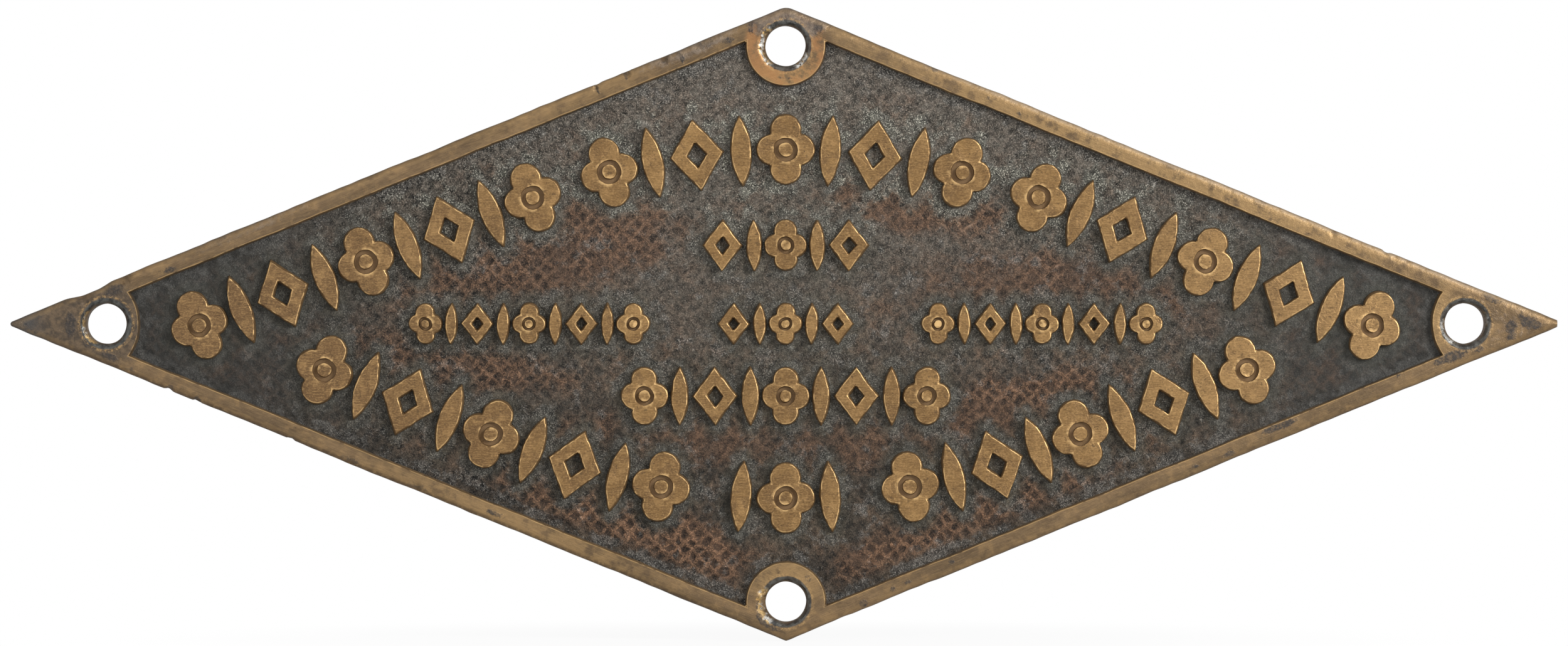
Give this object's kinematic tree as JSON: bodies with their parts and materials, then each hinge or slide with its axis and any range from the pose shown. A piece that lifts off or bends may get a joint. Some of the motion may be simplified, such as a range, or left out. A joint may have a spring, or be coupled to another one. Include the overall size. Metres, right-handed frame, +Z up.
{
  "type": "builders plate",
  "caption": "Diamond-shaped cast brass plate with raised rim, bossed fixing holes and raised ornament, for bolting flat to the side of a locomotive.",
  "frame": {"origin": "centre of the flat back face, midway between the four holes", "axes": "+X along the plate's length, to the right as seen from the front; +Z upwards along its height; -Y out of the front, so +Y points into the surface it is fixed to"},
  "size_m": [0.3936, 0.008, 0.1602],
  "materials": {
    "ground": "dark patinated cast ground with stipple",
    "rim": "worn, once polished, with dents and dark tarnish",
    "marks": "worn, once polished flat tops"
  },
  "bodies": {
    "root": {"ground_plate": "ground", "upper_left_rim": "rim", "upper_right_rim": "rim", "lower_left_rim": "rim", "lower_right_rim": "rim", "top_boss": "rim", "bottom_boss": "rim", "left_end_lug": "rim", "right_end_lug": "rim", "upper_band_left": "marks", "upper_band_centre": "marks", "upper_band_right": "marks", "lower_band_left": "marks", "lower_band_centre": "marks", "lower_band_right": "marks", "first_row": "marks", "second_row_left": "marks", "second_row_centre": "marks", "second_row_right": "marks", "third_row": "marks"}
  },
  "joints": []
}
